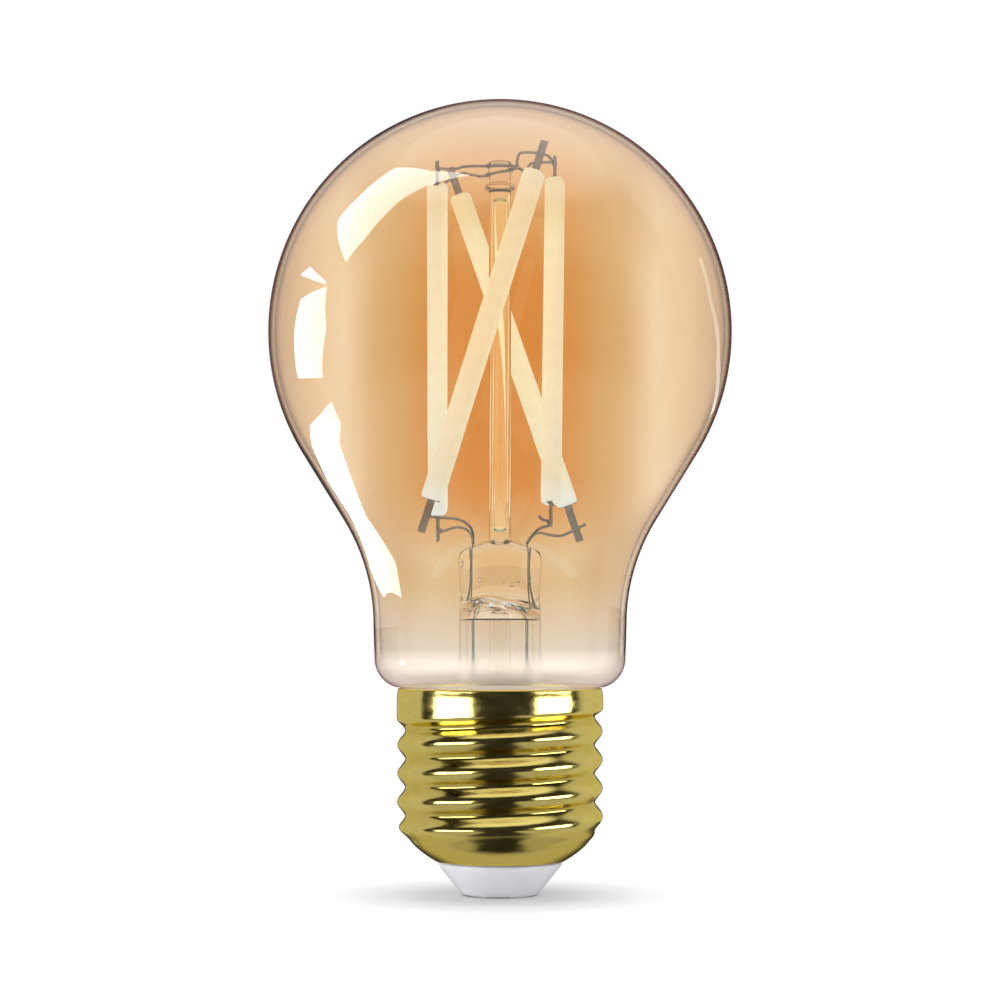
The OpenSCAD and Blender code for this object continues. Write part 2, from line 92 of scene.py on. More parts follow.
def arc(cx, cz, r, a0, a1, n):
    """Points of an arc from angle a0 to a1, in degrees."""
    angles = [math.radians(a0 + (a1 - a0) * i / n) for i in range(n + 1)]
    return [(cx + r * math.cos(a), cz + r * math.sin(a)) for a in angles]


def lathe(profile, sides=96, closed=True):
    """A turned shape about Z. The profile runs along (radius, z); a point on the axis becomes one vertex."""
    verts = []
    rings = []
    for r, z in profile:
        start = len(verts)
        if r < 1e-6:
            verts.append((0, 0, z))
            rings.append([start] * sides)
            continue
        verts += [(r * math.cos(TURN * s / sides), r * math.sin(TURN * s / sides), z) for s in range(sides)]
        rings.append([start + s for s in range(sides)])
    faces = []
    count = len(rings) if closed else len(rings) - 1
    for i in range(count):
        low, high = rings[i], rings[(i + 1) % len(rings)]
        for s in range(sides):
            t = (s + 1) % sides
            corners = []
            for corner in (low[s], low[t], high[t], high[s]):
                if corner not in corners:
                    corners.append(corner)
            if len(corners) > 2:
                faces.append(tuple(corners))
    return verts, faces


def placed(part, matrix):
    """(verts, faces) moved by a matrix, whose translation is in millimetres."""
    verts, faces = part
    return [tuple(matrix @ Vector(v)) for v in verts], faces


def smooth_path(points, steps=8):
    """A Catmull-Rom curve through the points."""
    pts = [Vector(p) for p in points]
    pts = [2 * pts[0] - pts[1]] + pts + [2 * pts[-1] - pts[-2]]
    path = []
    for i in range(1, len(pts) - 2):
        for step in range(steps):
            t = step / steps
            a, b, c, d = pts[i - 1:i + 3]
            path.append(0.5 * (2 * b + (c - a) * t + (2 * a - 5 * b + 4 * c - d) * t * t
                               + (3 * b - a - 3 * c + d) * t ** 3))
    path.append(pts[-2])
    return path


def tube(points, r, sides=16, steps=8, rounding=0.5):
    """A round wire along the points, with softly rounded ends."""
    path = smooth_path(points, steps)
    tangents = []
    for i in range(len(path)):
        before = path[max(i - 1, 0)]
        after = path[min(i + 1, len(path) - 1)]
        tangents.append((after - before).normalized())
    normal = Vector((0.31, 0.87, 0.38))
    stations = []
    for i, (point, along) in enumerate(zip(path, tangents)):
        normal = (normal - along * normal.dot(along)).normalized()
        stations.append((point, along, normal, 1.0))
    first, last = stations[0], stations[-1]
    cut = r * rounding
    head = [(first[0] - first[1] * cut * s, first[1], first[2], math.sqrt(1 - s * s)) for s in (0.95, 0.6)]
    tail = [(last[0] + last[1] * cut * s, last[1], last[2], math.sqrt(1 - s * s)) for s in (0.6, 0.95)]
    verts = []
    for point, along, normal, size in head + stations + tail:
        side = along.cross(normal)
        for s in range(sides):
            a = TURN * s / sides
            verts.append(tuple(point + (normal * math.cos(a) + side * math.sin(a)) * r * size))
    faces = []
    count = len(verts) // sides
    for i in range(count - 1):
        for s in range(sides):
            t = (s + 1) % sides
            faces.append((i * sides + s, i * sides + t, (i + 1) * sides + t, (i + 1) * sides + s))
    faces.append(tuple(range(sides)))
    faces.append(tuple(range((count - 1) * sides, count * sides)))
    return verts, faces


def soft_box(size, radius, steps=3):
    """A box about the origin with rounded edges."""
    work = bmesh.new()
    bmesh.ops.create_cube(work, size=1.0)
    bmesh.ops.scale(work, vec=size, verts=work.verts)
    bmesh.ops.bevel(work, geom=work.edges[:], offset=radius, segments=steps, profile=0.5, affect="EDGES")
    verts = [tuple(v.co) for v in work.verts]
    faces = [tuple(v.index for v in face.verts) for face in work.faces]
    work.free()
    return verts, faces


def loft(sections):
    """A closed shape through rings with the same number of points, from the first to the last."""
    sides = len(sections[0])
    verts = [point for ring in sections for point in ring]
    faces = []
    for i in range(len(sections) - 1):
        for s in range(sides):
            t = (s + 1) % sides
            faces.append((i * sides + s, i * sides + t, (i + 1) * sides + t, (i + 1) * sides + s))
    faces.append(tuple(range(sides)))
    faces.append(tuple(range((len(sections) - 1) * sides, len(sections) * sides)))
    return verts, faces


def squircle(half_w, half_t, z, power=2.0, sides=64):
    """A ring between an ellipse (power 2) and a rectangle (high power)."""
    ring = []
    for s in range(sides):
        a = TURN * s / sides
        c, d = math.cos(a), math.sin(a)
        ring.append((half_w * math.copysign(abs(c) ** (2 / power), c),
                     half_t * math.copysign(abs(d) ** (2 / power), d), z))
    return ring


def blend(a, b, t):
    return a + (b - a) * t


def smoothstep(x):
    t = min(1.0, max(0.0, x))
    return t * t * (3 - 2 * t)


# ---- Material helpers ----

def linear(rgb):
    """Screen colour 0-255 to linear light."""
    return [(c / 255 / 12.92) if c <= 10 else (((c / 255) + 0.055) / 1.055) ** 2.4 for c in rgb]


def new_material(name):
    """An empty node material with its Principled shader."""
    material = bpy.data.materials.new(name)
    material.use_nodes = True
    tree = material.node_tree
    return material, tree, tree.nodes["Principled BSDF"]


def node(tree, kind, **values):
    """A shader node, with its properties and its inputs set by name."""
    made = tree.nodes.new(kind)
    for key, value in values.items():
        if hasattr(made, key):
            setattr(made, key, value)
        else:
            made.inputs[key.replace("_", " ")].default_value = value
    return made


def ramp(tree, source, stops):
    """A colour ramp over a source value from 0 to 1."""
    made = tree.nodes.new("ShaderNodeValToRGB")
    band = made.color_ramp
    while len(band.elements) > 1:
        band.elements.remove(band.elements[-1])
    for i, (place, colour) in enumerate(stops):
        stop = band.elements[0] if i == 0 else band.elements.new(place)
        stop.position = place
        stop.color = (*colour[:3], 1)
    tree.links.new(source, made.inputs["Fac"])
    return made.outputs["Color"]


def noise(tree, scale, detail=3.0, stretch=(1, 1, 1), roughness=0.5):
    """Noise in the CAD frame's coordinates, in features per metre."""
    place = tree.nodes.new("ShaderNodeTexCoord")
    mapping = node(tree, "ShaderNodeMapping")
    mapping.inputs["Scale"].default_value = stretch
    made = node(tree, "ShaderNodeTexNoise", Scale=scale, Detail=detail, Roughness=roughness)
    tree.links.new(place.outputs["Object"], mapping.inputs["Vector"])
    tree.links.new(mapping.outputs["Vector"], made.inputs["Vector"])
    return made.outputs["Fac"]


def fit(tree, source, low, high, out_low, out_high):
    """A value mapped from one range to another, and kept inside it."""
    made = node(tree, "ShaderNodeMapRange", From_Min=low, From_Max=high, To_Min=out_low, To_Max=out_high)
    tree.links.new(source, made.inputs["Value"])
    return made.outputs["Result"]


def bump(tree, shader, height, strength, distance):
    made = node(tree, "ShaderNodeBump", Strength=strength, Distance=distance)
    tree.links.new(height, made.inputs["Height"])
    tree.links.new(made.outputs["Normal"], shader.inputs["Normal"])


def solid_material(name, colour, darker, metallic, rough, scale, bump_depth, stretch=(1, 1, 1)):
    """A surface with mottled colour, uneven gloss and a fine grain."""
    material, tree, shader = new_material(name)
    shader.inputs["Metallic"].default_value = metallic
    spots = noise(tree, scale, 4.0, stretch)
    tree.links.new(ramp(tree, spots, [(0.3, darker), (0.7, colour)]), shader.inputs["Base Color"])
    patches = noise(tree, scale * 0.4, 3.0)
    tree.links.new(fit(tree, patches, 0.3, 0.7, rough[0], rough[1]), shader.inputs["Roughness"])
    bump(tree, shader, noise(tree, scale * 3, 2.0, stretch), 0.5, bump_depth)
    return material


# ---- Materials ----

GLASS_IOR = 1.5
WALLS_IN_LINE = 2
# Share of the light behind the lamp that bare glass lets through, what its surface adds, and the least tint
GLASS_CLEAR = 0.955
GLASS_VEIL = 0.027
LEAST_TINT = 0.004


def seen_through(rgb):
    """The tint of a glass wall that makes white look like this colour behind the two walls in line."""
    shares = [(c - GLASS_VEIL) / GLASS_CLEAR for c in linear(rgb)]
    return [min(1.0, max(LEAST_TINT, share)) ** (1 / WALLS_IN_LINE) for share in shares]


# Colours of white seen through the lamp, by distance from its axis in millimetres. The belly's deep orange
# near the axis is painted glow of the lit filaments, and its pale band at 20.5 to 22 mm is a painted
# reflection
BELLY = [(0, (221, 142, 75)), (8, (221, 144, 77)), (10.5, (219, 152, 87)), (12.9, (217, 166, 104)),
         (16.7, (223, 179, 125)), (20.5, (247, 217, 177)), (22, (246, 214, 173)), (24.5, (238, 201, 157)),
         (27.2, (220, 183, 138)), (30, (210, 170, 124))]
CROWN = [(0, (238, 210, 178)), (15, (243, 212, 178)), (21, (226, 188, 146)), (28, (206, 168, 126))]
THROAT = [(0, (219, 180, 128)), (9, (230, 197, 150)), (12.9, (220, 184, 138)), (18, (215, 178, 134))]
NECK = [(0, (233, 222, 205)), (11, (232, 220, 204)), (16, (216, 203, 188))]
# The same white through a pale wall towards the outline, by how far the wall turns away
OUTLINE = [(0.6, (240, 209, 169)), (0.76, (228, 190, 146)), (0.82, (186, 145, 102)), (0.87, (80, 48, 24))]
WIDEST = 34
# Heights in metres over which the belly's tint gives way to the others, and the seal's glass turns milky and
# glows with painted light
CROWN_ZONE = (0.0845, 0.0970)
THROAT_ZONE = (0.0525, 0.0435)
NECK_ZONE = (0.0400, 0.0300)
SEAL_MILK_AND_GLOW_ZONE = (0.0315, 0.0290)
# The phosphor's light, bluer than it looks by what the amber glass in front of it takes away
GLOW_AT_BELLY = (0.49, 1.04, 1.80, 1)
GLOW_AT_CROWN = (0.44, 0.72, 0.78, 1)
GLOW_ZONE = (0.0850, 0.0950)
# Painted shade for the brass down in the thread's roots
BRASS_SHADED_IN_ROOTS = (0.60, 0.45, 0.08, 1)


def mixed(tree, share, a, b, kind="MIX"):
    """Two colours blended by a share."""
    mix = tree.nodes.new("ShaderNodeMix")
    mix.data_type = "RGBA"
    mix.blend_type = kind
    if isinstance(share, float):
        mix.inputs["Factor"].default_value = share
    else:
        tree.links.new(share, mix.inputs["Factor"])
    for socket, source in ((mix.inputs["A"], a), (mix.inputs["B"], b)):
        if isinstance(source, tuple):
            socket.default_value = source
        else:
            tree.links.new(source, socket)
    return mix.outputs["Result"]


def arithmetic(tree, operation, *values):
    """A maths node over sockets or numbers."""
    made = node(tree, "ShaderNodeMath", operation=operation)
    for i, value in enumerate(values):
        if isinstance(value, (int, float)):
            made.inputs[i].default_value = value
        else:
            tree.links.new(value, made.inputs[i])
    return made.outputs["Value"]


def level_and_radius(tree):
    """Height, distance from the lamp's axis, and the level direction away from it."""
    place = tree.nodes.new("ShaderNodeTexCoord")
    split = tree.nodes.new("ShaderNodeSeparateXYZ")
    tree.links.new(place.outputs["Object"], split.inputs["Vector"])
    flat = tree.nodes.new("ShaderNodeCombineXYZ")
    tree.links.new(split.outputs["X"], flat.inputs["X"])
    tree.links.new(split.outputs["Y"], flat.inputs["Y"])
    length = node(tree, "ShaderNodeVectorMath", operation="LENGTH")
    tree.links.new(flat.outputs["Vector"], length.inputs[0])
    outwards = node(tree, "ShaderNodeVectorMath", operation="NORMALIZE")
    tree.links.new(flat.outputs["Vector"], outwards.inputs[0])
    return split.outputs["Z"], length.outputs["Value"], outwards.outputs["Vector"]


def other_side(tree, value):
    """The cosine for a sine, or the sine for a cosine."""
    squared = arithmetic(tree, "MULTIPLY", value, value)
    return arithmetic(tree, "SQRT", arithmetic(tree, "SUBTRACT", 1.0, squared))


def slant(tree, direction=None):
    """The sine of the ray's angle, as it is in air, to the surface's normal or to the given direction."""
    weight = tree.nodes.new("ShaderNodeLayerWeight")
    if direction is not None:
        tree.links.new(direction, weight.inputs["Normal"])
    angle_sine = other_side(tree, arithmetic(tree, "SUBTRACT", 1.0, weight.outputs["Facing"]))
    from_glass = tree.nodes.new("ShaderNodeNewGeometry").outputs["Backfacing"]
    refraction = arithmetic(tree, "MULTIPLY_ADD", from_glass, GLASS_IOR - 1, 1.0)
    return arithmetic(tree, "MINIMUM", arithmetic(tree, "MULTIPLY", angle_sine, refraction), 1.0)


def as_glass(tree, shader, tint, density):
    """Makes a shader solid glass with a little colour in its depth."""
    shader.inputs["Transmission Weight"].default_value = 1.0
    shader.inputs["IOR"].default_value = GLASS_IOR
    absorb = node(tree, "ShaderNodeVolumeAbsorption", Color=(*tint, 1), Density=density)
    tree.links.new(absorb.outputs["Volume"], tree.nodes["Material Output"].inputs["Volume"])


def amber_glass():
    """Tinted glass: deep amber round the filaments as painted glow of their light, a painted reflection band
    on the belly, paler at the crown, milky and clear at the seal with a little painted glow.
    """
    material, tree, shader = new_material("amber_glass")
    height, radius, outwards = level_and_radius(tree)
    aside = slant(tree, outwards)
    off_axis = arithmetic(tree, "DIVIDE", arithmetic(tree, "MULTIPLY", aside, radius), WIDEST * MM)
    # Painted glow and painted reflection: these ramps put the filaments' glow and a window's reflection into
    # the glass colour, by how the wall faces the view
    belly, crown, throat, neck = [
        ramp(tree, off_axis, [(at / WIDEST, seen_through(rgb)) for at, rgb in stops])
        for stops in (BELLY, CROWN, THROAT, NECK)]
    colour = mixed(tree, fit(tree, height, *CROWN_ZONE, 0.0, 1.0), belly, crown)
    colour = mixed(tree, fit(tree, height, *THROAT_ZONE, 0.0, 1.0), colour, throat)
    colour = mixed(tree, fit(tree, height, *NECK_ZONE, 0.0, 1.0), colour, neck)
    turned_away = arithmetic(tree, "SUBTRACT", 1.0, other_side(tree, slant(tree)))
    pale = seen_through(OUTLINE[0][1])
    thicker = [(at, [c / p for c, p in zip(seen_through(rgb), pale)]) for at, rgb in OUTLINE]
    edge = ramp(tree, turned_away, thicker)
    tree.links.new(mixed(tree, 1.0, colour, edge, "MULTIPLY"), shader.inputs["Base Color"])
    smears = fit(tree, noise(tree, 60.0, 3.0, (1, 1, 0.5)), 0.45, 0.8, 0.0, 0.012)
    milky_and_glow = fit(tree, height, *SEAL_MILK_AND_GLOW_ZONE, 0.0, 1.0)
    tree.links.new(arithmetic(tree, "MULTIPLY_ADD", milky_and_glow, 0.2, smears), shader.inputs["Roughness"])
    # Painted glow: the glass at the seal gives off a little light, so the neck looks pale over the dark cap
    # inside it
    shader.inputs["Emission Color"].default_value = (1.0, 0.96, 0.90, 1)
    tree.links.new(arithmetic(tree, "MULTIPLY", milky_and_glow, 0.085), shader.inputs["Emission Strength"])
    bump(tree, shader, noise(tree, 45.0, 1.0, (1, 1, 0.6)), 0.04, 0.002)
    as_glass(tree, shader, (0.80, 0.62, 0.45), 20.0)
    return material


def clear_glass(name, waves, depth, edge_tint, painted_glow=None):
    """Clear lamp glass with drawn streaks along the axis, darker where it turns away, with a painted glow in
    its middle or not.
    """
    material, tree, shader = new_material(name)
    streaks = noise(tree, waves, 3.0, (1, 1, 0.15))
    body = ramp(tree, streaks, [(0.3, (0.97, 0.955, 0.935)), (0.7, (1.0, 0.995, 0.985))])
    facing = tree.nodes.new("ShaderNodeLayerWeight").outputs["Facing"]
    edge = ramp(tree, facing, [(0.5, (1, 1, 1)), (0.8, edge_tint)])
    tree.links.new(mixed(tree, 1.0, body, edge, "MULTIPLY"), shader.inputs["Base Color"])
    if painted_glow:
        # Painted glow: the glass gives off light where it faces the view, fading out towards its edges
        shader.inputs["Emission Color"].default_value = (*painted_glow, 1)
        tree.links.new(fit(tree, facing, 0.3, 0.6, 1.0, 0.0), shader.inputs["Emission Strength"])
    tree.links.new(fit(tree, noise(tree, waves * 2), 0.4, 0.8, 0.0, 0.05), shader.inputs["Roughness"])
    bump(tree, shader, streaks, 0.35, depth)
    as_glass(tree, shader, (0.55, 0.50, 0.46), 12.0)
    return material


def phosphor_glow():
    """Lit silicone, a little stronger over each chip, and bluer where the glass round it is deeper."""
    material, tree, shader = new_material("phosphor_glow")
    grain = noise(tree, 1500.0, 3.0)
    tree.links.new(ramp(tree, grain, [(0.3, (0.93, 0.80, 0.58)), (0.7, (0.98, 0.88, 0.68))]),
                   shader.inputs["Base Color"])
    place = tree.nodes.new("ShaderNodeTexCoord")
    bands = node(tree, "ShaderNodeTexWave", Scale=125.0, Distortion=0.6)
    bands.bands_direction = "Z"
    tree.links.new(place.outputs["Object"], bands.inputs["Vector"])
    height = level_and_radius(tree)[0]
    lit = mixed(tree, fit(tree, height, *GLOW_ZONE, 0.0, 1.0), GLOW_AT_BELLY, GLOW_AT_CROWN)
    chips = ramp(tree, bands.outputs["Fac"], [(0.0, (0.95, 0.95, 0.95)), (1.0, (1.0, 1.0, 1.0))])
    tree.links.new(mixed(tree, 1.0, lit, chips, "MULTIPLY"), shader.inputs["Emission Color"])
    shader.inputs["Emission Strength"].default_value = 1.0
    shader.inputs["Roughness"].default_value = 0.45
    bump(tree, shader, grain, 0.2, 0.00005)
    return material


def brass():
    """Polished pressed brass, darker down in the thread's roots as painted shade."""
    material, tree, shader = new_material("brass_polished")
    radius = level_and_radius(tree)[1]
    # Painted shade: the brass colour turns darker and browner towards the thread's roots
    root = fit(tree, radius, 0.0120, 0.0131, 0.5, 0.0)
    mottle = noise(tree, 500.0, 4.0, (1, 1, 2.5))
    warm = ramp(tree, mottle, [(0.3, (0.80, 0.65, 0.18)), (0.7, (0.88, 0.73, 0.24))])
    tree.links.new(mixed(tree, root, warm, BRASS_SHADED_IN_ROOTS), shader.inputs["Base Color"])
    shader.inputs["Specular Tint"].default_value = (0.96, 0.87, 0.50, 1)
    tree.links.new(fit(tree, mottle, 0.3, 0.7, 0.10, 0.20), shader.inputs["Roughness"])
    shader.inputs["Metallic"].default_value = 1.0
    bump(tree, shader, noise(tree, 900.0, 2.0, (1, 1, 6)), 0.15, 0.00004)
    return material


AMBER = amber_glass()
CLEAR = clear_glass("clear_glass", 400.0, 0.00006, (0.62, 0.57, 0.52))
PRESSED = clear_glass("pressed_glass", 500.0, 0.00025, (0.62, 0.55, 0.47))
# The rod's last colour is a painted glow, as if the filaments' light spread inside the glass
ROD = clear_glass("rod_glass", 400.0, 0.00003, (0.30, 0.22, 0.17), (0.05, 0.075, 0.08))
GLOW = phosphor_glow()
BRASS = brass()
NICKEL = solid_material("nickel_wire", (0.40, 0.47, 0.64), (0.26, 0.31, 0.44), 1.0, (0.25, 0.45),
                        1500.0, 0.00002)
TABS = solid_material("nickel_tab", (0.40, 0.50, 0.72), (0.28, 0.36, 0.54), 1.0, (0.3, 0.5),
                      900.0, 0.00002)
INSULATOR = solid_material("white_insulator", (0.86, 0.86, 0.89), (0.80, 0.80, 0.84), 0.0, (0.28, 0.4),
                           500.0, 0.00003)
CONTACT = solid_material("contact_metal", (0.72, 0.70, 0.66), (0.55, 0.53, 0.50), 1.0, (0.2, 0.4),
                         800.0, 0.00003)

# Slots of the record for the pieces inside the cap: colour, darker colour, metallic, gloss range, grain
INNER_LOOKS = {
    "filament_ceramic": ((0.90, 0.90, 0.87), (0.82, 0.82, 0.79), 0.0, (0.5, 0.7), 2000.0, 0.00001),
    "led_chip": ((0.50, 0.58, 0.85), (0.36, 0.44, 0.75), 0.0, (0.1, 0.2), 4000.0, 0.000005),
    "cap_cement": ((0.90, 0.88, 0.83), (0.76, 0.73, 0.67), 0.0, (0.7, 0.95), 1200.0, 0.00012),
    "liner_film": ((0.84, 0.84, 0.81), (0.74, 0.74, 0.70), 0.0, (0.25, 0.4), 300.0, 0.00004),
    "green_board": ((0.06, 0.26, 0.12), (0.04, 0.18, 0.09), 0.0, (0.25, 0.45), 900.0, 0.00003),
    "blue_board": ((0.04, 0.10, 0.30), (0.03, 0.07, 0.20), 0.0, (0.25, 0.45), 900.0, 0.00003),
    "gold_pins": ((0.90, 0.70, 0.30), (0.75, 0.55, 0.20), 1.0, (0.15, 0.3), 1500.0, 0.00001),
    "black_package": ((0.045, 0.045, 0.05), (0.02, 0.02, 0.025), 0.0, (0.45, 0.65), 2500.0, 0.00002),
    "crystal_can": ((0.75, 0.75, 0.77), (0.60, 0.60, 0.63), 1.0, (0.2, 0.35), 900.0, 0.00001),
    "copper_wire": ((0.75, 0.33, 0.16), (0.50, 0.18, 0.08), 1.0, (0.2, 0.35), 3000.0, 0.00005),
    "surface_parts": ((0.46, 0.36, 0.26), (0.30, 0.22, 0.16), 0.0, (0.4, 0.6), 1800.0, 0.00002),
    "capacitor_can": ((0.80, 0.80, 0.82), (0.66, 0.66, 0.69), 1.0, (0.2, 0.4), 700.0, 0.00001),
    "capacitor_sleeve": ((0.03, 0.06, 0.22), (0.02, 0.04, 0.14), 0.0, (0.2, 0.35), 500.0, 0.00003),
    "film_capacitor": ((0.72, 0.48, 0.06), (0.58, 0.36, 0.04), 0.0, (0.25, 0.4), 800.0, 0.00003),
    "ferrite": ((0.10, 0.095, 0.095), (0.05, 0.048, 0.048), 0.0, (0.5, 0.7), 2200.0, 0.00004),
    "varistor": ((0.05, 0.20, 0.46), (0.03, 0.13, 0.34), 0.0, (0.2, 0.35), 700.0, 0.00005),
    "resistor_body": ((0.25, 0.45, 0.30), (0.16, 0.34, 0.22), 0.0, (0.5, 0.7), 1300.0, 0.00004),
    "red_insulation": ((0.60, 0.04, 0.03), (0.45, 0.02, 0.02), 0.0, (0.3, 0.45), 900.0, 0.00002),
    "blue_insulation": ((0.05, 0.10, 0.42), (0.03, 0.07, 0.30), 0.0, (0.3, 0.45), 900.0, 0.00002),
    "solder": ((0.74, 0.74, 0.76), (0.58, 0.58, 0.60), 1.0, (0.2, 0.4), 1500.0, 0.00003),
}
inner_materials = {slot: solid_material(slot, *look) for slot, look in INNER_LOOKS.items()}
for part in frame["record"]["subparts"]:
    slot = part["material_slot"]
    if slot in inner_materials:
        data = frame["nodes"][part["node"]].data
        data.materials.clear()
        data.materials.append(inner_materials[slot])


pieces = {}


def piece(name, parts, material, slot, *nodes, hollows=()):
    """Adds a piece that rides on the lamp and stands for CAD nodes. Hollows are closed cavities inside it."""
    solid_verts = sum(len(part[0]) for part in parts)
    verts, faces = join_parts(list(parts) + list(hollows))
    thing = mesh_object(name, verts, faces, material, hollow_from=solid_verts)
    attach(thing, "root")
    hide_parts(*nodes)
    pieces[name] = thing
    return thing


# ---- Glass ----

envelope_low, envelope_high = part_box("glass_envelope")
bulb_r = (envelope_high[0] - envelope_low[0]) / 2 / MM
bulb_z = envelope_high[2] / MM - bulb_r
seal_z = envelope_low[2] / MM
rim_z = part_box("cap_shell")[1][2] / MM
GLASS_WALL = 0.7
NECK_R = 16.3
NECK_CURVE_R = 26
NECK_FOOT_Z = 34.4
SHOULDER_R = 3.85
SHOULDER_Z = 30.2
SEAL_R = 11.4
reach_x = NECK_R + NECK_CURVE_R
reach_z = bulb_z - NECK_FOOT_Z
lean = math.degrees(math.atan2(reach_z, reach_x)
                    - math.acos((bulb_r + NECK_CURVE_R) / math.hypot(reach_x, reach_z)))


def envelope_side(depth):
    """The wall's section from the crown down to the seal."""
    return (
        arc(0, bulb_z, bulb_r - depth, 90, -lean, 120)
        + arc(reach_x, NECK_FOOT_Z, NECK_CURVE_R + depth, 180 - lean, 180, 30)
        + arc(NECK_R - 0.15 - SHOULDER_R, SHOULDER_Z, SHOULDER_R - depth, 0, -72, 24)
        + [(12.75 - depth, rim_z + 0.08 + 0.8 * depth), (12.4 - depth, 26.1 + 0.8 * depth),
           (12.4 - depth, 23.8 + 0.4 * depth), (SEAL_R - depth, 22 + 0.4 * depth), (SEAL_R - depth, seal_z)]
    )


piece("envelope", [lathe(envelope_side(0) + envelope_side(GLASS_WALL)[::-1], 192, closed=False)],
      AMBER, "amber_glass", "glass_envelope")

flare_low, flare_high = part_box("stem_flare")
FLARE_R = 5.35
FLARE_WALL = 0.9
FUNNEL_R = 6.2
FUNNEL_Z = 28.1
flare_top = flare_high[2] / MM
ledge_z = flare_low[2] / MM + 0.7
flare_side = (
    [(FLARE_R, flare_top)] + arc(FLARE_R + FUNNEL_R, FUNNEL_Z, FUNNEL_R, 180, 245, 24)
    + [(10.3, ledge_z), (SEAL_R, ledge_z), (SEAL_R, ledge_z - 0.7), (9.9, ledge_z - 0.7)]
    + arc(FLARE_R + FUNNEL_R, FUNNEL_Z, FUNNEL_R + FLARE_WALL, 245, 180, 24)
    + [(FLARE_R - FLARE_WALL, flare_top)])
piece("flare", [lathe(flare_side)], CLEAR, "clear_glass", "stem_flare")

press_z0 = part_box("stem_press")[0][2] / MM
# Height above the press's foot, half width, half thickness, and how square the section is
PRESS_SECTIONS = [
    (0.0, 5.28, 5.28, 2.0), (0.4, 5.29, 4.9, 2.0), (1.1, 5.28, 4.2, 2.1), (1.9, 5.2, 3.4, 2.3),
    (2.9, 5.12, 2.85, 2.7), (4.0, 5.15, 2.62, 3.2), (5.2, 5.3, 2.66, 3.4), (6.4, 5.38, 2.6, 3.4),
    (7.6, 5.44, 2.6, 3.2), (8.3, 5.38, 2.5, 3.0), (8.8, 5.2, 2.4, 2.8), (9.15, 4.85, 2.2, 2.6),
    (9.4, 4.4, 2.05, 2.4), (9.65, 3.7, 1.9, 2.2), (9.9, 2.9, 1.75, 2.1), (10.15, 2.2, 1.6, 2.0),
    (10.35, 1.7, 1.5, 2.0), (10.5, 1.46, 1.46, 2.0),
]
# The hollow under the press: distance in from the flare's bore as a share, and height above the foot
HOLLOW_SECTIONS = [(0.84, 0.0), (0.82, 0.6), (0.74, 1.5), (0.6, 2.2), (0.42, 2.6), (0.22, 2.75), (0.05, 2.8)]
HOLLOW_TILT = 0.24


def press_shape():
    """The flattened glass, with a tilted hollow where the flare's bore ends."""
    hollow = []
    for share, up in HOLLOW_SECTIONS:
        ring = squircle(FLARE_R * share, FLARE_R * share, press_z0, 2.0)
        hollow.append([(x, y, z + up * (1 - HOLLOW_TILT * x / 2.5)) for x, y, z in ring])
    body = [squircle(w, t, press_z0 + up, power) for up, w, t, power in PRESS_SECTIONS]
    return loft(hollow[::-1] + body)


def air_bubble(x, y, z, r, tall=1.0):
    """A closed bubble inside the pressed glass."""
    angles = [math.radians(a) for a in range(-90, 91, 15)]
    profile = [(r * math.cos(a), r * tall * math.sin(a)) for a in angles]
    return placed(lathe(profile, 16, closed=False), Matrix.Translation((x, y, z)))


# Bubbles caught in the press: position, radius and how tall they are
BUBBLES = [(1.5, -0.7, 39.7, 0.32, 1.0), (2.3, 0.2, 40.2, 0.24, 1.0), (-2.5, 0.3, 40.4, 0.26, 1.7),
           (0.4, 0.5, 40.1, 0.2, 1.2), (-4.5, -0.2, 42.4, 0.24, 2.2)]
piece("press", [press_shape()], PRESSED, "clear_glass", "stem_press",
      hollows=[air_bubble(*bubble) for bubble in BUBBLES])

tip_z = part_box("exhaust_tube")[0][2] / MM
EXHAUST_R = 1.35
EXHAUST_BORE = 0.75
exhaust_side = (arc(0, tip_z + EXHAUST_R, EXHAUST_R, -90, 0, 12)
                + [(EXHAUST_R, press_z0), (EXHAUST_BORE, press_z0)]
                + arc(0, tip_z + 2.15, EXHAUST_BORE, 0, -90, 10))
piece("exhaust", [lathe(exhaust_side, 48, closed=False)], CLEAR, "clear_glass", "exhaust_tube")

rod_low, rod_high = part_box("centre_rod")
rod_r = (rod_high[0] - rod_low[0]) / 2 / MM
rod_z0 = rod_low[2] / MM
rod_z1 = rod_high[2] / MM
ROD_BORE = 0.8
bore = arc(0, rod_z0 + 1.8, ROD_BORE, -90, 0, 8) + arc(0, rod_z1 - 1.8, ROD_BORE, 0, 90, 8)
piece("rod", [lathe([(0, rod_z0), (rod_r, rod_z0), (rod_r, rod_z1), (0, rod_z1)], 64, closed=False)],
      ROD, "clear_glass", "centre_rod", hollows=[lathe(bore, 48, closed=False)])

head_low, head_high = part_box("rod_head")
head_z0 = head_low[2] / MM
head_z1 = head_high[2] / MM
head_side = ([(0, head_z0)] + arc(1.5, head_z0 + 0.45, 0.45, -90, 90, 12) + [(1.42, head_z0 + 1.2)]
             + [(1.4, head_z0 + 1.7), (1.5, head_z0 + 2.3)] + arc(1.2, head_z1 - 0.45, 0.45, 0, 90, 8)
             + [(0.9, head_z1 - 0.12), (0, head_z1 - 0.2)])
# Beads of glass where the wires leave the head: position and radius
HEAD_BEADS = [(-1.3, 0.0, 3.3, 0.5), (1.2, 0.0, 3.3, 0.48), (-1.35, 0.1, 2.1, 0.55), (1.3, -0.35, 2.7, 0.5)]
beads = [placed(lathe(arc(0, 0, r, -90, 90, 12), 20, closed=False), Matrix.Translation((x, y, head_z0 + up)))
         for x, y, up, r in HEAD_BEADS]
piece("rod_button", [lathe(head_side, 64, closed=False)] + beads, CLEAR, "clear_glass", "rod_head")


